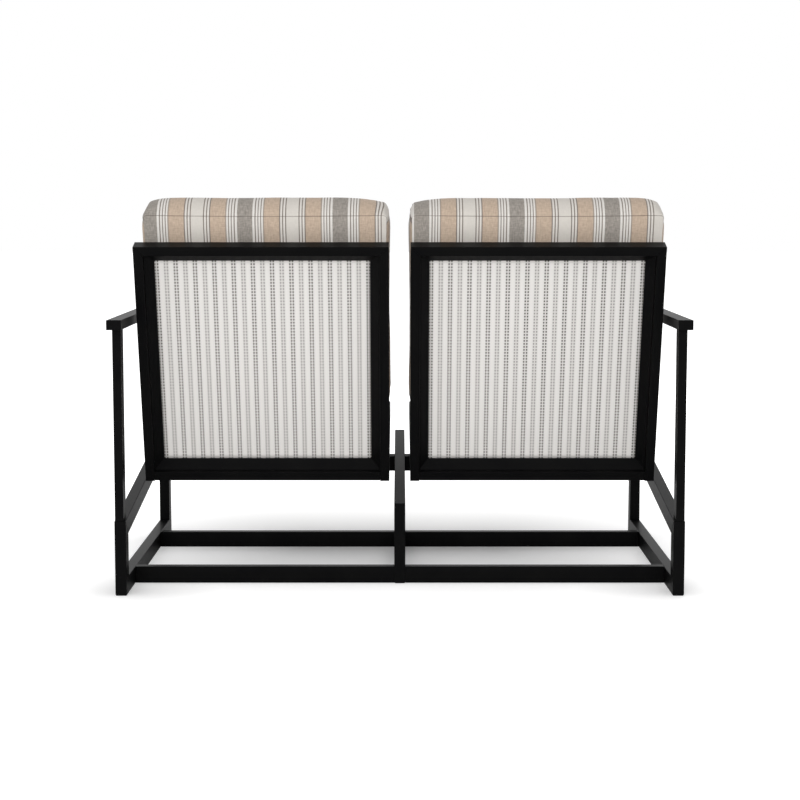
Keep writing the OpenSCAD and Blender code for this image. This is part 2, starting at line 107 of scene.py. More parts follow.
# %% Colour and node helpers
MATH, VECTOR, RANGE = "ShaderNodeMath", "ShaderNodeVectorMath", "ShaderNodeMapRange"


def linear(hex_colour):
    parts = [int(hex_colour[i : i + 2], 16) / 255 for i in (1, 3, 5)]
    return tuple(c / 12.92 if c <= 0.04045 else ((c + 0.055) / 1.055) ** 2.4 for c in parts) + (1,)


def plug(tree, node, inputs):
    for key, value in inputs.items():
        if isinstance(value, bpy.types.Node):
            value = next(socket for socket in value.outputs if socket.enabled)
        if isinstance(value, bpy.types.NodeSocket):
            tree.links.new(value, node.inputs[key])
        else:
            node.inputs[key].default_value = value


def add(tree, kind, inputs=None, stops=(), **settings):
    made = tree.nodes.new(kind)
    for name, value in settings.items():
        setattr(made, name, value)
    if stops:
        elements = made.color_ramp.elements
        while len(elements) < len(stops):
            elements.new(0.5)
        for element, (place, colour) in zip(elements, stops):
            element.position, element.color = place, colour
    plug(tree, made, inputs or {})
    return made


def start_material(name, viewport_hex):
    material = bpy.data.materials.new(name)
    material.use_nodes = True
    material.diffuse_color = linear(viewport_hex)
    tree = material.node_tree
    return material, tree, tree.nodes["Principled BSDF"]


print("black #0b0b0b is", [round(c, 5) for c in linear("#0b0b0b")])

# %% [markdown]
# ## Powder coat on aluminium
# The tubes are sprayed with dry polyester powder and baked. It melts into one thick satin
# skin with a faint orange peel, about 1.5 mm from crest to crest and only microns high. To
# the eye that is a deep black with a dull sheen at grazing angles, so the specular level is
# low and the roughness high. Where the spray lay thicker, over a hand's width or so, the
# black is a shade paler.

# %% Powder coat
powder_coat, tree, shader = start_material("black_powder_coat", "#151516")
place = add(tree, "ShaderNodeTexCoord").outputs["Object"]
PEEL_MM, CLOUD_MM = 1.5, 70.0
peel = add(tree, "ShaderNodeTexNoise", {"Vector": place, "Scale": 1000 / PEEL_MM, "Detail": 1.5})
cloud = add(tree, "ShaderNodeTexNoise", {"Vector": place, "Scale": 1000 / CLOUD_MM, "Detail": 3.0})
coat_colour = add(
    tree,
    "ShaderNodeValToRGB",
    {"Fac": cloud},
    stops=[(0.3, linear("#070708")), (0.7, linear("#0b0b0b"))],
)
coat_rough = add(tree, RANGE, {"Value": peel, "To Min": 0.34, "To Max": 0.44})
peel_bump = add(tree, "ShaderNodeBump", {"Height": peel, "Strength": 0.1, "Distance": 0.0002})
plug(
    tree,
    shader,
    {
        "Base Color": coat_colour,
        "Roughness": coat_rough,
        "Normal": peel_bump,
        "Specular IOR Level": 0.055,
    },
)
print(powder_coat.name, len(tree.nodes), "nodes")

# %% [markdown]
# ## Zinc-plated steel
# The saddles, bars and bolts of the rocking gear are mild steel with a plated coat of zinc. It
# gives the eye a pale, slightly blue metal with a cloudy gloss. The plating's grain is far too
# fine to show, so it is drawn as cells of 6 mm under a haze of 25 mm.

# %% Zinc-plated steel
zinc_steel, tree, shader = start_material("zinc_plated_steel", "#9a9da1")
place = add(tree, "ShaderNodeTexCoord").outputs["Object"]
SPANGLE_MM, HAZE_MM = 6.0, 25.0
spangle = add(tree, "ShaderNodeTexVoronoi", {"Vector": place, "Scale": 1000 / SPANGLE_MM})
haze = add(tree, "ShaderNodeTexNoise", {"Vector": place, "Scale": 1000 / HAZE_MM, "Detail": 4.0})
zinc_colour = add(
    tree,
    "ShaderNodeValToRGB",
    {"Fac": haze},
    stops=[(0.3, linear("#8b8f94")), (0.75, linear("#b4b7ba"))],
)
zinc_rough = add(tree, RANGE, {"Value": spangle, "To Min": 0.3, "To Max": 0.48})
plug(tree, shader, {"Base Color": zinc_colour, "Roughness": zinc_rough, "Metallic": 1})
print(zinc_steel.name, len(tree.nodes), "nodes")

# %% [markdown]
# ## Spring wire
# Spring wire is drawn, then hardened in oil. To the eye it is a brown black metal with a soft
# gloss. The oil leaves paler stains, about 11 mm long, which are a little rougher too.

# %% Spring wire
spring_wire, tree, shader = start_material("oil_tempered_spring_wire", "#3a3836")
place = add(tree, "ShaderNodeTexCoord").outputs["Object"]
STAIN_MM = 11.0
stain = add(tree, "ShaderNodeTexNoise", {"Vector": place, "Scale": 1000 / STAIN_MM, "Detail": 3.0})
wire_colour = add(
    tree,
    "ShaderNodeValToRGB",
    {"Fac": stain},
    stops=[(0.3, linear("#34302d")), (0.7, linear("#565250"))],
)
wire_rough = add(tree, RANGE, {"Value": stain, "To Min": 0.28, "To Max": 0.45})
plug(tree, shader, {"Base Color": wire_colour, "Roughness": wire_rough, "Metallic": 1})
print(spring_wire.name, len(tree.nodes), "nodes")

# %% [markdown]
# ## Cast nylon
# The bushes are turned from cast nylon. To the eye it is cream and waxy, and faintly clouded
# where the casting cured at its own pace, over about 17 mm.

# %% Nylon bushes
cast_nylon, tree, shader = start_material("cast_nylon", "#c9c2ab")
place = add(tree, "ShaderNodeTexCoord").outputs["Object"]
CURE_MM = 17.0
cure = add(tree, "ShaderNodeTexNoise", {"Vector": place, "Scale": 1000 / CURE_MM, "Detail": 2.0})
nylon_colour = add(
    tree,
    "ShaderNodeValToRGB",
    {"Fac": cure},
    stops=[(0.3, linear("#bdb59c")), (0.7, linear("#d0c9b4"))],
)
plug(tree, shader, {"Base Color": nylon_colour, "Roughness": 0.5})
print(cast_nylon.name, len(tree.nodes), "nodes")

# %% [markdown]
# ## Moulded rubber and nylon
# Stops are moulded rubber and glides moulded nylon, both black. To the eye they are dull and
# even, the rubber more so. A mould's grit is about a tenth of a millimetre and too fine to
# show, so it is drawn at 1.2 and 0.8 mm.

# %% Moulded rubber and glide nylon
def moulded_black(name, low, high, roughness, grit_mm):
    material, tree, shader = start_material(name, low)
    place = add(tree, "ShaderNodeTexCoord").outputs["Object"]
    grit = add(
        tree, "ShaderNodeTexNoise", {"Vector": place, "Scale": 1000 / grit_mm, "Detail": 2.0}
    )
    colour = add(
        tree,
        "ShaderNodeValToRGB",
        {"Fac": grit},
        stops=[(0.3, linear(low)), (0.7, linear(high))],
    )
    bump = add(tree, "ShaderNodeBump", {"Height": grit, "Strength": 0.2, "Distance": 0.0002})
    plug(
        tree,
        shader,
        {"Base Color": colour, "Normal": bump, "Roughness": roughness, "Specular IOR Level": 0.3},
    )
    return material


stop_rubber = moulded_black("moulded_rubber", "#121212", "#1c1c1b", 0.8, 1.2)
glide_nylon = moulded_black("moulded_nylon", "#141414", "#1a1a1a", 0.6, 0.8)
print(stop_rubber.name, glide_nylon.name)

# %% [markdown]
# ## The sling cloth
# The sling is woven from polyester yarn in a vinyl jacket, then heat-set so that the yarns
# fuse where they cross. To the eye it is a chalky white with a slight plastic gloss. Pairs of
# columns run up the cloth, 21.85 mm from pair to pair and one pair a little stronger than the
# next, where a grey weft shows as rows of short dashes. The rows are about 4.9 mm apart on
# the real cloth. That is too fine to show in the render, so they are drawn 7.4 mm apart. The
# ribs, 1.6 mm apart, only show close up. The pattern is built from waves on the sheet's own
# UV, measured in metres, so it stays straight however the sheet hangs.

# %% Woven sling material
sling_cloth, tree, shader = start_material("vinyl_coated_weave", "#e2dfda")
PAIR_MM, RIB_MM, DASH_ROW_MM = 21.85, 1.6, 7.4
COLUMN_OUT_MM, COLUMN_HALF_MM, COLUMN_CORE_MM = 3.1, 2.0, 1.1
SHADE_HALF_MM, SHADE_CORE_MM, SHADE_DEPTH = 8.6, 3.0, 0.4
DASH_HALF_SHARE, DASH_CORE_SHARE, DASH_RELIEF = 0.33, 0.22, 1.5
WEAK_PAIR, PAIR_BLEND = 0.6, (0.45, 0.55)
uv = add(tree, "ShaderNodeUVMap", uv_map="UVMap")
split = add(tree, "ShaderNodeSeparateXYZ", {"Vector": uv})
across, along = split.outputs["X"], split.outputs["Y"]
across_mm = add(tree, MATH, {0: across, 1: 1000.0}, operation="MULTIPLY")
along_mm = add(tree, MATH, {0: along, 1: 1000.0}, operation="MULTIPLY")
from_pair = add(
    tree,
    MATH,
    {0: add(tree, MATH, {0: across_mm, 1: PAIR_MM / 2, 2: -PAIR_MM / 2}, operation="WRAP")},
    operation="ABSOLUTE",
)
from_column = add(
    tree,
    MATH,
    {0: add(tree, MATH, {0: from_pair, 1: COLUMN_OUT_MM}, operation="SUBTRACT")},
    operation="ABSOLUTE",
)
in_column = add(
    tree,
    RANGE,
    {"Value": from_column, "From Min": COLUMN_HALF_MM, "From Max": COLUMN_CORE_MM},
    interpolation_type="SMOOTHSTEP",
)
near_pair = add(
    tree,
    RANGE,
    {"Value": from_pair, "From Min": SHADE_HALF_MM, "From Max": SHADE_CORE_MM},
    interpolation_type="SMOOTHSTEP",
)
row_place = add(
    tree,
    MATH,
    {0: add(tree, MATH, {0: along_mm, 1: DASH_ROW_MM / 2, 2: -DASH_ROW_MM / 2}, operation="WRAP")},
    operation="ABSOLUTE",
)
in_dash = add(
    tree,
    RANGE,
    {
        "Value": row_place,
        "From Min": DASH_ROW_MM * DASH_HALF_SHARE,
        "From Max": DASH_ROW_MM * DASH_CORE_SHARE,
    },
    interpolation_type="SMOOTHSTEP",
)
strong_pair = add(
    tree,
    RANGE,
    {
        "Value": add(
            tree,
            MATH,
            {0: add(tree, MATH, {0: across_mm, 1: PAIR_MM, 2: -PAIR_MM}, operation="WRAP")},
            operation="ABSOLUTE",
        ),
        "From Min": PAIR_MM * PAIR_BLEND[0],
        "From Max": PAIR_MM * PAIR_BLEND[1],
        "To Min": WEAK_PAIR,
        "To Max": 1.0,
    },
)
dash = add(
    tree,
    MATH,
    {0: add(tree, MATH, {0: in_column, 1: in_dash}, operation="MULTIPLY"), 1: strong_pair},
    operation="MULTIPLY",
)
ground = add(
    tree,
    "ShaderNodeMix",
    {
        "Factor": add(tree, MATH, {0: near_pair, 1: SHADE_DEPTH}, operation="MULTIPLY"),
        "A": linear("#e2dfdc"),
        "B": linear("#bfbbb7"),
    },
    data_type="RGBA",
)
woven = add(
    tree,
    "ShaderNodeMix",
    {"Factor": dash, "A": ground, "B": linear("#4a4641")},
    data_type="RGBA",
)
rib = add(
    tree,
    MATH,
    {0: add(tree, MATH, {0: across_mm, 1: 2 * math.pi / RIB_MM}, operation="MULTIPLY")},
    operation="SINE",
)
pick = add(
    tree,
    MATH,
    {0: add(tree, MATH, {0: along_mm, 1: 2 * math.pi / (DASH_ROW_MM / 2)}, operation="MULTIPLY")},
    operation="SINE",
)
weave_height = add(
    tree,
    MATH,
    {
        0: add(tree, MATH, {0: rib, 1: pick}, operation="MULTIPLY"),
        1: add(tree, MATH, {0: dash, 1: DASH_RELIEF}, operation="MULTIPLY"),
    },
    operation="SUBTRACT",
)
weave_bump = add(
    tree, "ShaderNodeBump", {"Height": weave_height, "Strength": 0.35, "Distance": 0.0002}
)
plug(
    tree,
    shader,
    {"Base Color": woven, "Normal": weave_bump, "Roughness": 0.62, "Specular IOR Level": 0.35},
)
print(sling_cloth.name, len(tree.nodes), "nodes")

# %% [markdown]
# ## The cushion cloth
# The covers are solution-dyed acrylic, woven in a warp stripe that repeats every 214.8 mm: a
# grey band, four white bars with fine dark threads between them, a tan band, two pale bars
# and a cream band, then the same backwards. Only half the repeat needs to be written down:
# the distance from the grey band's middle, folded by an absolute value, does the rest. The
# yarn is spun from mixed fibre, so to the eye the cloth is matt and soft, and each band is
# flecked with slubs along both threads. A canvas has threads about 0.6 mm apart and slubs
# about 1 mm wide, too fine to show, so they are drawn at 1.3 mm and 3 mm.

# %% Striped cushion material
cushion_cloth, tree, shader = start_material("striped_acrylic_canvas", "#b9a890")
STRIPE_REPEAT_MM = 214.8
GREY, WHITE, TAN, EDGE = "#948e87", "#d5d1cc", "#b8a593", "#9a8f84"
CREAM, PALE, THREAD, DARK = "#cbc6bf", "#d1ccc6", "#827a73", "#7f7770"
STRIPE_BANDS_MM = [
    (0.0, GREY),
    (17.1, WHITE),
    (22.2, THREAD),
    (24.4, WHITE),
    (28.8, THREAD),
    (31.0, WHITE),
    (34.9, THREAD),
    (37.1, WHITE),
    (41.0, EDGE),
    (43.8, TAN),
    (77.5, DARK),
    (80.1, PALE),
    (84.2, DARK),
    (86.8, PALE),
    (90.8, DARK),
    (93.4, CREAM),
]
uv = add(tree, "ShaderNodeUVMap", uv_map="UVMap")
split = add(tree, "ShaderNodeSeparateXYZ", {"Vector": uv})
across_mm = add(tree, MATH, {0: split.outputs["X"], 1: 1000.0}, operation="MULTIPLY")
along_mm = add(tree, MATH, {0: split.outputs["Y"], 1: 1000.0}, operation="MULTIPLY")
half_repeat = STRIPE_REPEAT_MM / 2
folded = add(
    tree,
    MATH,
    {0: add(tree, MATH, {0: across_mm, 1: half_repeat, 2: -half_repeat}, operation="WRAP")},
    operation="ABSOLUTE",
)
fold_share = add(tree, MATH, {0: folded, 1: half_repeat}, operation="DIVIDE")
stripes = add(
    tree,
    "ShaderNodeValToRGB",
    {"Fac": fold_share},
    stops=[(mm / half_repeat, linear(colour)) for mm, colour in STRIPE_BANDS_MM],
)
stripes.color_ramp.interpolation = "CONSTANT"
HEATHER_SHARE, PLAIN_SHARE = {GREY: 1.0, TAN: 0.6}, 0.15
heather_share = add(
    tree,
    "ShaderNodeValToRGB",
    {"Fac": fold_share},
    stops=[
        (mm / half_repeat, (HEATHER_SHARE.get(colour, PLAIN_SHARE),) * 3 + (1,))
        for mm, colour in STRIPE_BANDS_MM
    ],
)
heather_share.color_ramp.interpolation = "CONSTANT"
THREAD_MM, SLUB_MM, SLUB_STRETCH = 1.3, 3.0, 4
WARP_SHARE, WEFT_SHARE, SLUB_RELIEF = 0.55, 0.45, 2.0
SEAM_MM, SEAM_CORE_MM, SEAM_SHADE = 1.5, 0.3, 0.6
slub_place = add(
    tree,
    "ShaderNodeCombineXYZ",
    {
        "X": add(tree, MATH, {0: across_mm, 1: 1 / SLUB_MM}, operation="MULTIPLY"),
        "Y": add(tree, MATH, {0: along_mm, 1: 1 / (SLUB_MM * SLUB_STRETCH)}, operation="MULTIPLY"),
    },
)
warp_slub = add(tree, "ShaderNodeTexNoise", {"Vector": slub_place, "Scale": 1.0, "Detail": 2.0})
pick_place = add(
    tree,
    "ShaderNodeCombineXYZ",
    {
        "X": add(tree, MATH, {0: across_mm, 1: 1 / (SLUB_MM * SLUB_STRETCH)}, operation="MULTIPLY"),
        "Y": add(tree, MATH, {0: along_mm, 1: 1 / SLUB_MM}, operation="MULTIPLY"),
    },
)
weft_slub = add(tree, "ShaderNodeTexNoise", {"Vector": pick_place, "Scale": 1.0, "Detail": 2.0})
heather = add(
    tree,
    MATH,
    {
        0: add(tree, MATH, {0: warp_slub, 1: WARP_SHARE}, operation="MULTIPLY"),
        1: add(tree, MATH, {0: weft_slub, 1: WEFT_SHARE}, operation="MULTIPLY"),
    },
    operation="ADD",
)
heather_swing = add(
    tree,
    RANGE,
    {"Value": heather, "From Min": 0.35, "From Max": 0.65, "To Min": -0.24, "To Max": 0.2},
)
heather_value = add(
    tree,
    MATH,
    {0: add(tree, MATH, {0: heather_swing, 1: heather_share}, operation="MULTIPLY"), 1: 1.0},
    operation="ADD",
)
heathered = add(tree, VECTOR, {0: stripes, "Scale": heather_value}, operation="SCALE")
# Painted shade: within 1.5 mm of each seam the cloth darkens towards #4d463f, the shade that falls
# in the seam's fold.
seam_mm = add(tree, "ShaderNodeAttribute", attribute_name="seam_mm").outputs["Fac"]
seam_shade_mask = add(
    tree,
    RANGE,
    {"Value": seam_mm, "From Min": SEAM_MM, "From Max": SEAM_CORE_MM},
    interpolation_type="SMOOTHSTEP",
)
with_seam_shade = add(
    tree,
    "ShaderNodeMix",
    {
        "Factor": add(tree, MATH, {0: seam_shade_mask, 1: SEAM_SHADE}, operation="MULTIPLY"),
        "A": heathered,
        "B": linear("#4d463f"),
    },
    data_type="RGBA",
)
thread_height = add(
    tree,
    MATH,
    {
        0: add(
            tree,
            MATH,
            {0: add(tree, MATH, {0: across_mm, 1: math.pi / THREAD_MM}, operation="MULTIPLY")},
            operation="SINE",
        ),
        1: add(
            tree,
            MATH,
            {0: add(tree, MATH, {0: along_mm, 1: math.pi / THREAD_MM}, operation="MULTIPLY")},
            operation="SINE",
        ),
    },
    operation="MULTIPLY",
)
cloth_height = add(
    tree,
    MATH,
    {0: thread_height, 1: add(tree, MATH, {0: heather, 1: SLUB_RELIEF}, operation="MULTIPLY")},
    operation="ADD",
)
cloth_bump = add(
    tree, "ShaderNodeBump", {"Height": cloth_height, "Strength": 0.35, "Distance": 0.00025}
)
plug(
    tree,
    shader,
    {
        "Base Color": with_seam_shade,
        "Normal": cloth_bump,
        "Roughness": 0.9,
        "Specular IOR Level": 0.2,
        "Sheen Weight": 0.08,
        "Sheen Roughness": 0.5,
    },
)
print(cushion_cloth.name, len(tree.nodes), "nodes")

# %% [markdown]
# ## Metal that stays as CAD
# Tubes, plates and bolts are already the right shape. A real edge is never a knife edge: an
# extruded tube has a corner radius, and the coat rounds it further. A Weld modifier joins
# the loose triangles for the Bevel, which then rounds only the true edges.

# %% Dress the CAD nodes
SOFT_NODES = ("cushion", "_sling", "springs")
EDGE_MM = {"powder_coat": 1.1, "mechanism_steel": 0.5, "glide_plastic": 0.3}
SAME_POINT_MM, EDGE_DEGREES = 0.02, 25
SLOT_MATERIALS = {
    "powder_coat": powder_coat,
    "mechanism_steel": zinc_steel,
    "spring_steel": spring_wire,
    "bush_plastic": cast_nylon,
    "stop_rubber": stop_rubber,
    "glide_plastic": glide_nylon,
    "sling_fabric": sling_cloth,
    "cushion_fabric": cushion_cloth,
}
slot_of = {s["node"]: s["material_slot"] for s in frame["record"]["subparts"]}
rounded = 0
for name, piece in nodes.items():
    if name.endswith(SOFT_NODES):
        continue
    slot = slot_of[name]
    piece.data.materials.clear()
    piece.data.materials.append(SLOT_MATERIALS[slot])
    if slot in EDGE_MM:
        weld = piece.modifiers.new("Join", "WELD")
        weld.merge_threshold = SAME_POINT_MM / 1000
        bevel = piece.modifiers.new("Edge", "BEVEL")
        bevel.width = EDGE_MM[slot] / 1000
        bevel.segments = 2
        bevel.limit_method = "ANGLE"
        bevel.angle_limit = math.radians(EDGE_DEGREES)
        bevel.harden_normals = True
        rounded += 1
print("rounded", rounded, "of", len(nodes), "nodes")

# %% [markdown]
# ## Where the seats are
# Both buckets are built in their own frame, tilted 7.5 degrees with the sloped rails: zero is
# on top of the pivot bar at the bucket's middle. The back leans 9 degrees more. These two
# matrices put anything drawn in that frame, in millimetres, where the CAD has it.

# %% Seat and back frames
SEAT_PITCH, RECLINE = 7.5, 9.0
PIVOT_SETBACK, RAIL_TOP = 557.7, 168.0
SEAT_GAP, RAIL_W, RAIL_H = 36.5, 21.5, 38.1
SEAT_REACH, BACK_REACH, STILE_DROP = 268.0, 293.0, 19.5
BUCKET_X, BUCKET_W, BACK_L = 311.675, 574.65, 576.0
SIDES = (("left", 1), ("right", -1))
MM = Matrix.Scale(0.001, 4)


def seat_frame(side):
    lift = RAIL_TOP + PIVOT_SETBACK * math.tan(math.radians(SEAT_PITCH))
    place = Matrix.Translation((side * BUCKET_X, REAR_FACE_Y * 1000 - PIVOT_SETBACK, lift))
    return MM @ place @ Matrix.Rotation(math.radians(-SEAT_PITCH), 4, "X")


def back_frame(side):
    foot = Matrix.Translation((0, BACK_REACH, SEAT_GAP - STILE_DROP))
    return seat_frame(side) @ foot @ Matrix.Rotation(math.radians(-RECLINE), 4, "X")


def finished(name, mesh, material, body=None, replaced=None):
    piece = bpy.data.objects.new(name, mesh)
    scene.collection.objects.link(piece)
    mesh.materials.clear()
    mesh.materials.append(material)
    if body:
        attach(piece, body)
    if replaced:
        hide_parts(replaced)
    return piece


for side_name, side in SIDES:
    print(side_name, "pivot at", [round(m, 4) for m in seat_frame(side).translation])

# %% [markdown]
# ## The slings
# Each sling is one flat cloth with a stiff edging in its hem, pushed into a groove of its
# frame and drawn tight. A grid is enough for it: it sags 2 to 3 mm between the rails under
# the cushion, and a Solidify modifier gives it the cloth's thickness.

# %% Sling sheets
SLING_RAIL, SLING_PLANE, SLING_LIP, SLING_T = 21.0, 36.5, 3.5, 1.2
FRAME_GAP, SLING_CELLS = 0.3, 48
BACK_SAG, SEAT_SAG = 2.0, 3.0
SLING_MID = SLING_PLANE - SLING_LIP / 2


def sling_mesh(name, width, length, sag, to_world):
    columns = rows = SLING_CELLS
    points, places, faces = [], [], []
    for j in range(rows + 1):
        for i in range(columns + 1):
            u, v = i / columns - 0.5, j / rows - 0.5
            dip = sag * (1 - (2 * u) ** 2) * (1 - (2 * v) ** 2)
            up_cloth = (v + 0.5) * length + SLING_RAIL
            points.append(to_world @ Vector((u * width, up_cloth, SLING_MID - dip)))
            places.append((u * width / 1000, v * length / 1000))
    for j in range(rows):
        for i in range(columns):
            a = j * (columns + 1) + i
            faces.append((a, a + 1, a + columns + 2, a + columns + 1))
    mesh = bpy.data.meshes.new(name)
    mesh.from_pydata(points, [], faces)
    uv_layer = mesh.uv_layers.new(name="UVMap")
    for loop in mesh.loops:
        uv_layer.data[loop.index].uv = places[loop.vertex_index]
    mesh.shade_smooth()
    return mesh


def solid_sheet(piece):
    thick = piece.modifiers.new("Cloth thickness", "SOLIDIFY")
    thick.thickness = SLING_T / 1000
    thick.offset = 0


sling_w = BUCKET_W - 2 * RAIL_W - 2 * FRAME_GAP - 2 * SLING_RAIL
stile_lean = math.tan(math.radians(RECLINE))


def stile_front(z):
    deep = RAIL_H * math.cos(math.radians(RECLINE))
    rise = RAIL_H * math.sin(math.radians(RECLINE))
    return BACK_REACH - deep + (z - (SEAT_GAP - STILE_DROP) - rise) * stile_lean


back_sling_l = BACK_L - 2 * RAIL_W - 2 * FRAME_GAP - 2 * SLING_RAIL
seat_sling_l = stile_front(SEAT_GAP) + SEAT_REACH - RAIL_W - 2 * FRAME_GAP - 2 * SLING_RAIL
UPRIGHT = Matrix.Rotation(math.radians(90), 4, "X")
for side_name, side in SIDES:
    body = side_name + "_bucket"
    on_back = back_frame(side) @ UPRIGHT @ Matrix.Translation((0, RAIL_W + FRAME_GAP, 0))
    on_seat = seat_frame(side) @ Matrix.Translation((0, RAIL_W + FRAME_GAP - SEAT_REACH, SEAT_GAP))
    for part, place, length, sag in (
        ("back", on_back, back_sling_l, BACK_SAG),
        ("seat", on_seat, seat_sling_l, SEAT_SAG),
    ):
        node_name = f"{side_name}_{part}_sling"
        mesh = sling_mesh(node_name + "_cloth", sling_w, length, sag, place)
        piece = finished(node_name + "_cloth", mesh, sling_cloth, body, node_name)
        solid_sheet(piece)
print("slings", [round(mm, 1) for mm in (sling_w, back_sling_l, seat_sling_l)], "mm")

# %% [markdown]
# ## The springs
# Each bucket stands on four coil springs of 4 mm wire. A spring is a rule, not a shape: a
# spiral path and a round section swept along it. Geometry Nodes has both, and the named
# inputs are the numbers a spring maker would ask for.

# %% Spring tree
def spring_tree():
    tree = bpy.data.node_groups.new("coil_spring", "GeometryNodeTree")
    face = tree.interface
    face.new_socket("Geometry", in_out="INPUT", socket_type="NodeSocketGeometry")
    for label, kind, value in (
        ("Mean diameter", "NodeSocketFloat", 0.030),
        ("Wire diameter", "NodeSocketFloat", 0.004),
        ("Turns", "NodeSocketFloat", 5.0),
        ("Height", "NodeSocketFloat", 0.0485),
        ("Material", "NodeSocketMaterial", None),
    ):
        socket = face.new_socket(label, in_out="INPUT", socket_type=kind)
        if value is not None:
            socket.default_value = value
    face.new_socket("Geometry", in_out="OUTPUT", socket_type="NodeSocketGeometry")
    given = add(tree, "NodeGroupInput").outputs
    radius = add(tree, MATH, {0: given["Mean diameter"], 1: 0.5}, operation="MULTIPLY")
    rise = add(tree, MATH, {0: given["Height"], 1: given["Wire diameter"]}, operation="SUBTRACT")
    lift = add(tree, MATH, {0: given["Wire diameter"], 1: 0.5}, operation="MULTIPLY")
    spiral = add(
        tree,
        "GeometryNodeCurveSpiral",
        {
            "Resolution": 28,
            "Rotations": given["Turns"],
            "Start Radius": radius,
            "End Radius": radius,
            "Height": rise,
        },
    )
    offset = add(tree, "ShaderNodeCombineXYZ", {"Z": lift})
    raised = add(tree, "GeometryNodeTransform", {"Geometry": spiral, "Translation": offset})
    section = add(tree, "GeometryNodeCurvePrimitiveCircle", {"Resolution": 10, "Radius": lift})
    wire = add(
        tree,
        "GeometryNodeCurveToMesh",
        {"Curve": raised, "Profile Curve": section, "Fill Caps": True},
    )
    on_wings = {"Points": given["Geometry"], "Instance": wire}
    set_on = add(tree, "GeometryNodeInstanceOnPoints", on_wings)
    real = add(tree, "GeometryNodeRealizeInstances", {"Geometry": set_on})
    smooth = add(tree, "GeometryNodeSetShadeSmooth", {"Geometry": real})
    finish = {"Geometry": smooth, "Material": given["Material"]}
    dressed = add(tree, "GeometryNodeSetMaterial", finish)
    add(tree, "NodeGroupOutput", {"Geometry": dressed})
    return tree


def set_inputs(modifier, values):
    for item in modifier.node_group.interface.items_tree:
        if item.in_out == "INPUT" and item.name in values:
            modifier[item.identifier] = values[item.name]


def baked_mesh(carrier, name):
    view_layer = bpy.context.view_layer
    view_layer.update()
    evaluated = carrier.evaluated_get(bpy.context.evaluated_depsgraph_get())
    mesh = bpy.data.meshes.new_from_object(evaluated)
    mesh.name = name
    bpy.data.objects.remove(carrier)
    return mesh


# %% [markdown]
# The springs stand on the saddle's wings and hold up the plate of the rocker frame. Their feet
# stay on the base while their tops move with the bucket. Here the wire is built once, at rest, and
# is attached to no body.

# %% Springs on their wings
SPRING_REACH, SPRING_OFFSET = 48.0, 45.0
WING_TOP, PLATE_UNDER = -16.0, 32.5
coil_tree = spring_tree()
for side_name, side in SIDES:
    seats = bpy.data.meshes.new(side_name + "_spring_seats")
    seats.from_pydata(
        [
            (x / 1000, y / 1000, WING_TOP / 1000)
            for x in (-SPRING_OFFSET, SPRING_OFFSET)
            for y in (-SPRING_REACH, SPRING_REACH)
        ],
        [],
        [],
    )
    carrier = bpy.data.objects.new(side_name + "_spring_carrier", seats)
    scene.collection.objects.link(carrier)
    winding = carrier.modifiers.new("Wind", "NODES")
    winding.node_group = coil_tree
    set_inputs(winding, {"Height": (PLATE_UNDER - WING_TOP) / 1000, "Material": spring_wire})
    mesh = baked_mesh(carrier, side_name + "_spring_wire")
    in_metres = seat_frame(side) @ Matrix.Scale(1000, 4)
    mesh.transform(in_metres)
    piece = finished(side_name + "_spring_wire", mesh, spring_wire)
    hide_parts(side_name + "_springs")
    low = seat_frame(side) @ Vector((0, 0, WING_TOP))
    high = seat_frame(side) @ Vector((0, 0, PLATE_UNDER))
    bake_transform(piece)
    print(piece.name, len(mesh.polygons), "faces")

# %% [markdown]
# ## The cushions
# A boxed cushion is two panels and a band, cut flat and sewn edge to edge. The stuffing
# pushes every piece out, the seams hold their length, and so the panels crown, the band
# bulges, and the sides pull in between the corners. The mesh copies the cutting: two grids
# and a band that share the seam's vertices. Each panel keeps its own UV in metres, so the
# stripes stay with the cloth, run over the top band and start anew on the side bands. At one
# end of the top band the cloth is gathered some millimetres sideways, so the stripes bend.

# %% Cushion cutting pattern
CORNER_R, CELL_MM, SIDE_PULL = 9.0, 9.0, 3.0
BLOCK_SHARES = (0.34, 0.62, 0.84, 0.94, 1.0)
SEAM_ROWS_MM = (2.0, 5.0)
SIDE_BAND_START_MM, JOINT_MM, NEAR_MM = 36.0, 22.0, 0.1
GATHER_REACH_MM, NO_JOINT_MM, TINY_MM = 30, 99.0, 0.01


def stations(half):
    straight = half - CORNER_R
    count = max(2, round(2 * straight / CELL_MM))
    middle = [(-straight + 2 * straight * k / count, 0.0) for k in range(count + 1)]
    low = [(-straight, -share) for share in reversed(BLOCK_SHARES)]
    high = [(straight, share) for share in BLOCK_SHARES]
    return low + middle + high


def rounded_point(station_x, station_y, half_w, half_l):
    (x, u), (y, v) = station_x, station_y
    px = x + CORNER_R * u * math.sqrt(1 - v * v / 2)
    py = y + CORNER_R * v * math.sqrt(1 - u * u / 2)
    return (
        px - SIDE_PULL * (px / half_w) * (1 - (py / half_l) ** 2),
        py - SIDE_PULL * (py / half_l) * (1 - (px / half_w) ** 2),
    )


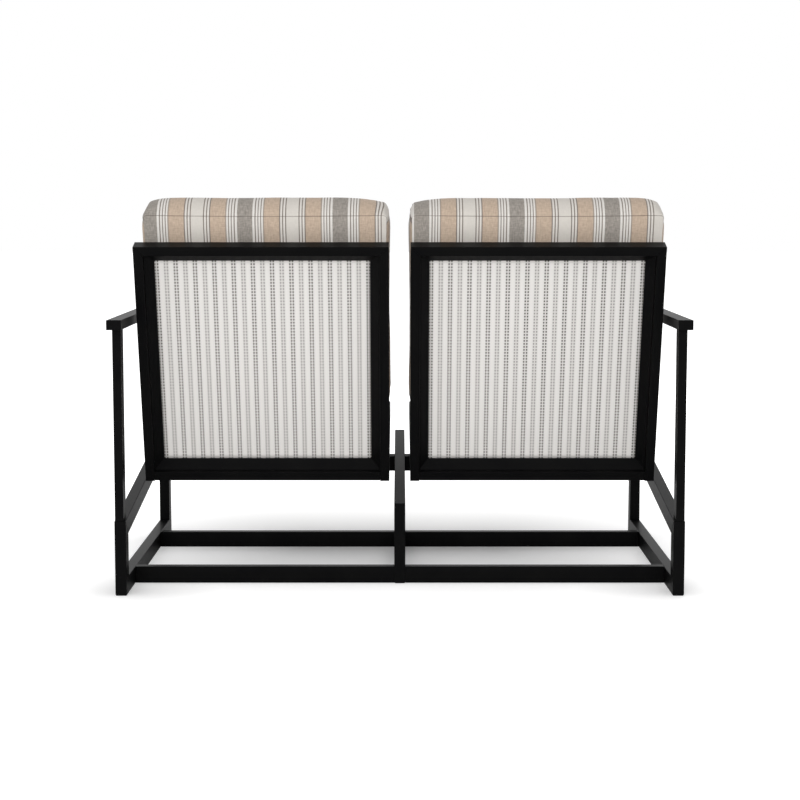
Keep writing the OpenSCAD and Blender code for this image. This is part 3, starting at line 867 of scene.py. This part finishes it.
def cushion_mesh(name, half_w, half_l, thick, stripe_mm, gather_mm):
    across, along = stations(half_w), stations(half_l)
    nx, ny = len(across), len(along)
    low_row, high_row = SEAM_ROWS_MM
    points, seam, flat, index_of = [], [], [], {}
    for face, z in (("rest", 0.0), ("show", thick)):
        for j in range(ny):
            for i in range(nx):
                x, y = rounded_point(across[i], along[j], half_w, half_l)
                edge = min(half_w - abs(x), half_l - abs(y))
                if across[i][1] and along[j][1]:
                    edge = CORNER_R * (1 - max(abs(across[i][1]), abs(along[j][1])))
                inside = 0 < i < nx - 1 and 0 < j < ny - 1
                index_of[face, i, j] = len(points)
                points.append((x, y, z))
                seam.append(max(0.0, edge) if inside else 0.0)
                flat.append((x, y))
    loop = (
        [(i, 0) for i in range(nx - 1)]
        + [(nx - 1, j) for j in range(ny - 1)]
        + [(i, ny - 1) for i in range(nx - 1, 0, -1)]
        + [(0, j) for j in range(ny - 1, 0, -1)]
    )
    straight = [y for y, corner in along if not corner]
    joint_y = min((abs(y) for y in straight), key=lambda y: abs(half_l - JOINT_MM - y))
    middle = thick - 2 * high_row
    rows = max(4, round(middle / CELL_MM))
    heights = [0.0, low_row, high_row] + [high_row + middle * k / rows for k in range(1, rows)]
    heights += [thick - high_row, thick - low_row, thick]
    last = len(heights) - 1
    band = {}
    for k, z in enumerate(heights):
        for n, (i, j) in enumerate(loop):
            if k in (0, last):
                band[k, n] = index_of["rest" if k == 0 else "show", i, j]
                continue
            x, y = flat[index_of["rest", i, j]]
            band[k, n] = len(points)
            points.append((x, y, z))
            joint = abs(joint_y - abs(along[j][0])) if i in (0, nx - 1) else NO_JOINT_MM
            seam.append(min(z, thick - z, joint))
            flat.append((x, y))
    faces, cuts = [], []
    for face in ("rest", "show"):
        for j in range(ny - 1):
            for i in range(nx - 1):
                corners = [(i, j), (i + 1, j), (i + 1, j + 1), (i, j + 1)]
                if face == "rest":
                    corners.reverse()
                faces.append([index_of[face, a, b] for a, b in corners])
                cuts += [flat[index_of[face, a, b]] for a, b in corners]
    for k in range(last):
        for n in range(len(loop)):
            m = (n + 1) % len(loop)
            (i0, j0), (i1, j1) = loop[n], loop[m]
            on_side = i0 == i1 and max(abs(along[j0][0]), abs(along[j1][0])) < joint_y + NEAR_MM
            on_side = on_side and not (along[j0][1] or along[j1][1])
            quad = [(k, n), (k, m), (k + 1, m), (k + 1, n)]
            faces.append([band[corner] for corner in quad])
            for kk, nn in quad:
                x, y = flat[index_of["rest", *loop[nn]]]
                if on_side:
                    reach = half_w + SIDE_BAND_START_MM + heights[kk]
                    cuts.append((reach if x > 0 else -reach, y))
                else:
                    push = gather_mm * math.exp(-(half_w + x) / GATHER_REACH_MM)
                    push *= math.sin(math.pi * heights[kk] / thick)
                    cuts.append((x + push, y + (heights[kk] if y > 0 else -heights[kk])))
    mesh = bpy.data.meshes.new(name)
    mesh.from_pydata(points, [], faces)
    mesh.update()
    uv_layer = mesh.uv_layers.new(name="UVMap")
    for place, (x, y) in zip(uv_layer.data, cuts):
        place.uv = ((x - stripe_mm) / 1000, y / 1000)
    seam_values = mesh.attributes.new("seam_mm", "FLOAT", "POINT")
    seam_values.data.foreach_set("value", seam)
    return mesh, np.array(points), np.array(seam)


print("a panel 560 mm wide has", len(stations(280)), "columns of points")

# %% [markdown]
# The cloth simulation is there for the wrinkles. The mesh is blown up like a bag for 20
# frames with no gravity, the face that rests on the frame is pinned, and the seams may shrink
# by 2.5 per cent, which gathers the cloth beside them. What the simulation does is kept only
# as wrinkles, at most 4 mm deep, because a free bag would grow past its real size. The bulge
# and the crown come from a formula, the envelope of a real fill, fitted to the outlines in the
# photograph: a band stands out most in the middle of its length and hardly at all in the
# corners, where four layers of cloth meet and hold it in.

# %% Stuff a cushion
FILL_FRAMES, PRESSURE, SHRINK = 20, 4.0, 0.025
SEAM_HOLD, JITTER_MM, SEAM_JITTER, ON_FRAME_MM = 0.35, 0.35, 2.0, 0.5
CORNER_HOLD_MM, CORNER_SHARE = (26.0, 48.0), 0.3
SIDE_HELD, END_HOLD_MM = (0.9, 0.55), 12.0
BELLY_POWER, DOME_POWER = 0.8, 3.2


def stuff(mesh, start, seam, free, seed):
    piece = bpy.data.objects.new("stuffing_" + mesh.name, mesh)
    scene.collection.objects.link(piece)
    rng = np.random.default_rng(seed)
    resting = piece.vertex_groups.new(name="resting")
    gathered = piece.vertex_groups.new(name="gathered")
    for index, height in enumerate(start[:, 2]):
        if seam[index] < TINY_MM:
            gathered.add([index], 1.0, "REPLACE")
            resting.add([index], SEAM_HOLD, "REPLACE")
        elif height < ON_FRAME_MM and not free[index]:
            resting.add([index], 1.0, "REPLACE")
    jitter = rng.normal(0, JITTER_MM, start.shape)
    jitter[seam < TINY_MM] *= SEAM_JITTER
    mesh.vertices.foreach_set("co", ((start + jitter) * 0.001).ravel())
    cloth = piece.modifiers.new("Stuffing", "CLOTH")
    cloth.settings.quality = 5
    cloth.settings.mass = 0.3
    cloth.settings.use_pressure = True
    cloth.settings.uniform_pressure_force = PRESSURE
    cloth.settings.effector_weights.gravity = 0
    cloth.settings.tension_stiffness = 20
    cloth.settings.compression_stiffness = 10
    cloth.settings.bending_stiffness = 0.4
    cloth.settings.vertex_group_mass = "resting"
    cloth.settings.vertex_group_shrink = "gathered"
    cloth.settings.shrink_min = 0.0
    cloth.settings.shrink_max = SHRINK
    cloth.collision_settings.use_collision = False
    cloth.point_cache.frame_start = 1
    cloth.point_cache.frame_end = FILL_FRAMES
    for step in range(1, FILL_FRAMES + 1):
        scene.frame_set(step)
    evaluated = piece.evaluated_get(bpy.context.evaluated_depsgraph_get())
    blown = np.array([v.co for v in evaluated.data.vertices]) * 1000
    scene.frame_set(1)
    bpy.data.objects.remove(piece)
    return blown


def envelope(start, half_w, half_l, thick, bulge):
    """How far a point may stand out of its panel's plane: x, y and z parts."""
    x, y, z = start.T
    hold = np.where(x * bulge["outward"] > 0, *CORNER_HOLD_MM)
    into_x = 1 - (1 - CORNER_SHARE) * np.exp(-np.maximum(half_w - np.abs(x), 0) / hold)
    side = np.where(x > 0, bulge["side"][0], bulge["side"][1])
    held = np.where(x * bulge["outward"] > 0, *SIDE_HELD)
    into_y = 1 - held * np.exp(-np.maximum(half_l - np.abs(y), 0) / END_HOLD_MM)
    belly = np.clip(4 * (z / thick) * (1 - z / thick), 0, 1) ** BELLY_POWER
    end = np.where(y > 0, bulge["top"], bulge["foot"])
    dome = (1 - np.abs(x / half_w) ** DOME_POWER) * (1 - np.abs(y / half_l) ** DOME_POWER)
    return np.array((side * into_y * belly, end * into_x * belly, bulge["crown"] * dome))


# %% [markdown]
# Here the parts come together. The flat cutting pattern moves out to the envelope, the tail
# above the frame hangs a little over it, and the bag's movement is added as wrinkles. Then
# come small touches that a solver can't give on a grid this coarse: each seam is drawn in
# under its neighbours, and short puckers fan out from it and from the corners. They come from
# noise with a fixed offset, so every run gives the same cushion.

# %% Finish a cushion
HANG_MM, HANG_START_MM, TAIL_MM = 3.5, 30, 18
WRINKLE_MM, WRINKLE_FROM_MM, SEAM_WRINKLE = 4.0, 40.0, 0.4
PUCKER_MM, PUCKER_H, PUCKER_REACH = 24.0, 1.2, 16.0
FOLD_MM, FOLD_H, FOLD_REACH = 11.0, 2.2, 20.0
LUMP_MM, LUMP_H = 110.0, 2.0
GROOVE_H, GROOVE_REACH = -1.8, 1.6
LOWEST_MM, NOISE_STEP = -6.0, (7.3, 3.1)


def shape(start, blown, seam, free, sizes, bulge):
    half_w, half_l, thick = sizes
    limit_x, limit_y, limit_z = envelope(start, half_w, half_l, thick, bulge)
    points = start.copy()
    wander = blown - start
    reach_x, reach_y = np.abs(start[:, 0]), np.abs(start[:, 1])
    from_side = half_w - reach_x - SIDE_PULL * (1 - (reach_y / half_l) ** 2)
    from_end = half_l - reach_y - SIDE_PULL * (1 - (reach_x / half_w) ** 2)
    edge_x = np.clip(1 - from_side / CORNER_R, 0, 1)
    edge_y = np.clip(1 - from_end / CORNER_R, 0, 1)
    band = (start[:, 2] > TINY_MM) & (start[:, 2] < thick - TINY_MM)
    # Sideways, the bulge of the band. The face that shows gets the crown.
    points[:, 0] += np.sign(start[:, 0]) * limit_x * edge_x**2 * band
    points[:, 1] += np.sign(start[:, 1]) * limit_y * edge_y**2 * band
    show = start[:, 2] > thick - TINY_MM
    points[:, 2] += limit_z * show
    hang = np.clip((start[:, 1] - bulge["free_from"]) / HANG_START_MM, 0, 1)
    hang *= 1 - np.abs(start[:, 0] / half_w) ** 6
    tail = np.clip((half_l - start[:, 1]) / TAIL_MM, 0, 1)
    points[:, 2] -= HANG_MM * hang * tail * free
    # Only the wrinkles are kept of the bag's own movement
    smooth = np.tanh(wander / WRINKLE_FROM_MM) * WRINKLE_MM
    points += smooth * np.where(seam > TINY_MM, 1.0, SEAM_WRINKLE)[:, None]
    return points


def touch_up(points, mesh, start, seam, free, sizes, seed):
    mesh.vertices.foreach_set("co", points.ravel())
    mesh.update()
    normals = np.array([v.normal for v in mesh.vertices])
    offset = Vector((seed * NOISE_STEP[0], seed * NOISE_STEP[1], 0))
    half_w, half_l, _ = sizes
    for index, point in enumerate(points):
        near = math.exp(-seam[index] / PUCKER_REACH)
        from_corner = math.hypot(half_w - abs(start[index][0]), half_l - abs(start[index][1]))
        cornered = math.exp(-from_corner / FOLD_REACH)
        pucker = noise.noise(Vector(point) / PUCKER_MM + offset) * PUCKER_H * near
        pucker += noise.noise(Vector(point) / FOLD_MM + offset) * FOLD_H * cornered
        broad = noise.noise(Vector(point) / LUMP_MM + offset) * LUMP_H
        groove = GROOVE_H * math.exp(-seam[index] / GROOVE_REACH)
        points[index] += normals[index] * (pucker + broad + groove)
    lowest = np.where(free, LOWEST_MM, 0.0)
    points[:, 2] = np.maximum(points[:, 2], lowest)
    mesh.vertices.foreach_set("co", points.ravel())
    mesh.update()


# %% [markdown]
# The four covers aren't quite alike. Where the two back cushions lie, how wide they are and
# where their stripes start was read from the photograph. The seat cushions, which it hides,
# follow them. All sizes are in millimetres.

# %% Cushion sizes
CUSHION_GAP = 0.3
SEAT_T, BACK_T, CROWN, REAR_CROWN_SHARE = 120.0, 104.0, 12.0, 0.55
SEAT_OVERHANG, FRONT_INSET, REAR_INSET, FOOT_SINK = 12.0, 6, 5, 1.5
SEAT_TOP = SEAT_GAP + RAIL_H
BACK_SEAM_TOP = 638.0
NEVER_FREE, FREE_MARGIN = 1e6, 4
FIRST_SEED, SEED_STEP = 11, 4
seat_rear = stile_front(SEAT_TOP) - CUSHION_GAP
seat_front = -SEAT_REACH - SEAT_OVERHANG
on_cushion = SEAT_TOP + CUSHION_GAP + SEAT_T + CROWN * REAR_CROWN_SHARE + CUSHION_GAP
lean = math.radians(RECLINE)
back_low = (on_cushion - (SEAT_GAP - STILE_DROP) - RAIL_H * math.sin(lean)) / math.cos(lean)
# Middle, half width and middle of a grey band along x, bulge of the band at +x and at -x, and
# how far the top band is gathered
COVER_KEYS = ("centre", "half", "stripe", "side", "gather")
COVERS = {
    ("left", "back"): (-8.65, 274.65, 37.1, (9.0, 8.0), 7.0),
    ("right", "back"): (1.4, 284.1, 47.8, (6.5, 7.5), 0.0),
    ("left", "seat"): (-3.0, 278.0, 37.1, (6.0, 6.0), 3.0),
    ("right", "seat"): (1.0, 280.0, 47.8, (6.0, 6.0), 2.0),
}
BULGES = {
    "seat": {"top": 4.5, "foot": 7.0, "crown": 12.0},
    "back": {"top": 26.5, "foot": 4.0, "crown": 13.0},
}
print("cushion rows", [round(mm, 1) for mm in (back_low, seat_front, seat_rear)], "mm")

# %% Make the four cushions
for number, (side_name, side) in enumerate(SIDES):
    for part in ("seat", "back"):
        cover = dict(zip(COVER_KEYS, COVERS[side_name, part]))
        if part == "seat":
            low, high, thick = seat_front + FRONT_INSET, seat_rear - REAR_INSET, SEAT_T
            free_from = NEVER_FREE
            to_world = seat_frame(side) @ Matrix.Translation(
                (cover["centre"], (low + high) / 2, SEAT_TOP + CUSHION_GAP)
            )
        else:
            low, high, thick = back_low - FOOT_SINK, BACK_SEAM_TOP, BACK_T
            free_from = BACK_L - (low + high) / 2
            set_back = Matrix.Translation(
                (cover["centre"], -RAIL_H - CUSHION_GAP, (low + high) / 2)
            )
            to_world = back_frame(side) @ set_back @ UPRIGHT
        bulge = {**BULGES[part], "free_from": free_from, "side": cover["side"], "outward": side}
        half_w, half_l = cover["half"], (high - low) / 2
        sizes = (half_w, half_l, thick)
        seed = FIRST_SEED + SEED_STEP * number + (part == "back")
        name = f"{side_name}_{part}_cushion_cover"
        stripe = cover["stripe"] - cover["centre"]
        mesh, start, seam = cushion_mesh(name, half_w, half_l, thick, stripe, cover["gather"])
        free = start[:, 1] > free_from + FREE_MARGIN
        blown = stuff(mesh, start, seam, free, seed)
        points = shape(start, blown, seam, free, sizes, bulge)
        touch_up(points, mesh, start, seam, free, sizes, seed)
        print(name, "from", np.round(points.min(0), 1), "to", np.round(points.max(0), 1))
        mesh.transform(to_world)
        mesh.shade_smooth()
        body, node_name = side_name + "_bucket", f"{side_name}_{part}_cushion"
        piece = finished(name, mesh, cushion_cloth, body, node_name)
        soften = piece.modifiers.new("Smooth", "SUBSURF")
        soften.levels = soften.render_levels = 1

# %% [markdown]
# ## Studio
# A white sweep, a white dome and three big soft lamps: one above, one behind the camera and
# one on the far side. The dome is white to the camera and to reflections, and gives plain,
# even light to everything else. The lamps alone leave the bench's shadow darker and wider than
# in the photograph. So the floor glows for the camera alone, little under the bench and beside
# its rear feet, more round it, by amounts fitted to the photograph's floor. This glow is
# painted light, and its weak patches are a painted shadow of the bench and its rear feet.

# %% Floor
floor_mesh = bpy.data.meshes.new("studio_floor")
FLOOR_M = 30.0
floor_mesh.from_pydata(
    [(x * FLOOR_M, y * FLOOR_M, 0) for x, y in ((-1, -1), (1, -1), (1, 1), (-1, 1))],
    [],
    [(0, 1, 2, 3)],
)
floor = bpy.data.objects.new("studio_floor", floor_mesh)
scene.collection.objects.link(floor)
floor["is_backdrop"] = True
floor_material, tree, shader = start_material("white_sweep", "#ffffff")
plug(tree, shader, {"Base Color": linear("#e8e8e8"), "Roughness": 0.9, "Specular IOR Level": 0.0})
# Painted shadow: the camera-only glow is weakest in a box under the bench and grows over 1 m round
# it.
DIM_MIDDLE, DIM_HALF = (0.0, -0.25, 0.0), (0.25, 0.15, 0.0)
REAR_FOOT, FOOT_REACH, FOOT_GLOW = (0.6, 0.36, 0.0), 0.2, 0.42
GLOW_REACH, LEAST_GLOW, FULL_GLOW = 1.0, 0.13, 0.88
place = add(tree, "ShaderNodeTexCoord").outputs["Object"]
from_middle = add(tree, VECTOR, {0: place, 1: DIM_MIDDLE}, operation="SUBTRACT")
one_side = add(tree, VECTOR, {0: from_middle}, operation="ABSOLUTE")
beyond = add(tree, VECTOR, {0: one_side, 1: DIM_HALF}, operation="SUBTRACT")
outside = add(tree, VECTOR, {0: beyond, 1: (0, 0, 0)}, operation="MAXIMUM")
out_m = add(tree, VECTOR, {0: outside}, operation="LENGTH")
glow = add(
    tree,
    RANGE,
    {"Value": out_m, "From Max": GLOW_REACH, "To Min": LEAST_GLOW, "To Max": FULL_GLOW},
)
floor_split = add(tree, "ShaderNodeSeparateXYZ", {"Vector": place})
folded_place = add(
    tree,
    "ShaderNodeCombineXYZ",
    {
        "X": add(tree, MATH, {0: floor_split.outputs["X"]}, operation="ABSOLUTE"),
        "Y": floor_split.outputs["Y"],
    },
)
# Painted shadow: beside each rear foot the camera-only glow falls to 0.42 of its strength.
foot_m = add(tree, VECTOR, {0: folded_place, 1: REAR_FOOT}, operation="DISTANCE")
painted_foot_shadow = add(
    tree,
    RANGE,
    {"Value": foot_m, "From Max": FOOT_REACH, "To Min": FOOT_GLOW},
)
seen = add(tree, "ShaderNodeLightPath").outputs["Is Camera Ray"]
painted_floor_light = add(
    tree,
    MATH,
    {0: seen, 1: add(tree, MATH, {0: glow, 1: painted_foot_shadow}, operation="MULTIPLY")},
    operation="MULTIPLY",
)
plug(tree, shader, {"Emission Color": (1, 1, 1, 1), "Emission Strength": painted_floor_light})
floor_mesh.materials.append(floor_material)
print("floor", 2 * FLOOR_M, "m wide")

# %% [markdown]
# The camera, reflections and clear materials see the dome at full white. All other light from
# it is a plain share of that. The lamps show neither to the camera nor in reflections.

# %% World and lamps
DOME_LIGHT = 0.68
world = bpy.data.worlds.new("white_dome")
world.use_nodes = True
scene.world = world
tree = world.node_tree
seen = add(tree, "ShaderNodeLightPath")
shown = add(
    tree,
    MATH,
    {
        0: seen.outputs["Is Camera Ray"],
        1: add(
            tree,
            MATH,
            {0: seen.outputs["Is Glossy Ray"], 1: seen.outputs["Is Transmission Ray"]},
            operation="MAXIMUM",
        ),
    },
    operation="MAXIMUM",
)
dome_strength = add(
    tree,
    MATH,
    {0: shown, 1: 1.0 - DOME_LIGHT, 2: DOME_LIGHT},
    operation="MULTIPLY_ADD",
)
background = tree.nodes["Background"]
plug(tree, background, {"Color": (1, 1, 1, 1), "Strength": dome_strength})


def soft_lamp(name, place, target, size, power):
    data = bpy.data.lights.new(name, "AREA")
    data.shape = "DISK"
    data.size = size
    data.energy = power
    lamp = bpy.data.objects.new(name, data)
    lamp.location = place
    aim = Vector(target) - Vector(place)
    lamp.rotation_euler = aim.to_track_quat("-Z", "Y").to_euler()
    lamp.visible_camera = False
    lamp.visible_glossy = False
    scene.collection.objects.link(lamp)
    print(name, power, "W")


soft_lamp("overhead_softbox", (0.6, 1.2, 4.2), (0, 0, 0.3), size=3.5, power=4)
soft_lamp("front_softbox", (-1.6, -5.0, 2.4), (0, -0.1, 0.45), size=3.0, power=95)
soft_lamp("camera_softbox", (0.8, 5.5, 1.6), (0, 0.2, 0.4), size=3.0, power=146)

# %% [markdown]
# ## Colour view and size
# The Standard view shows colours as they are written. The box round the dressed bench is printed
# beside the CAD's, to show how far the dressing grows the bench.

scene.view_settings.view_transform = "Standard"
shown_box = [list(corner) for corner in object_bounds()]
for label, dressed, plain in zip(("low", "high"), shown_box, cad_box):
    print("grows by mm,", label, [round((a - b) * 1000, 1) for a, b in zip(dressed, plain)])
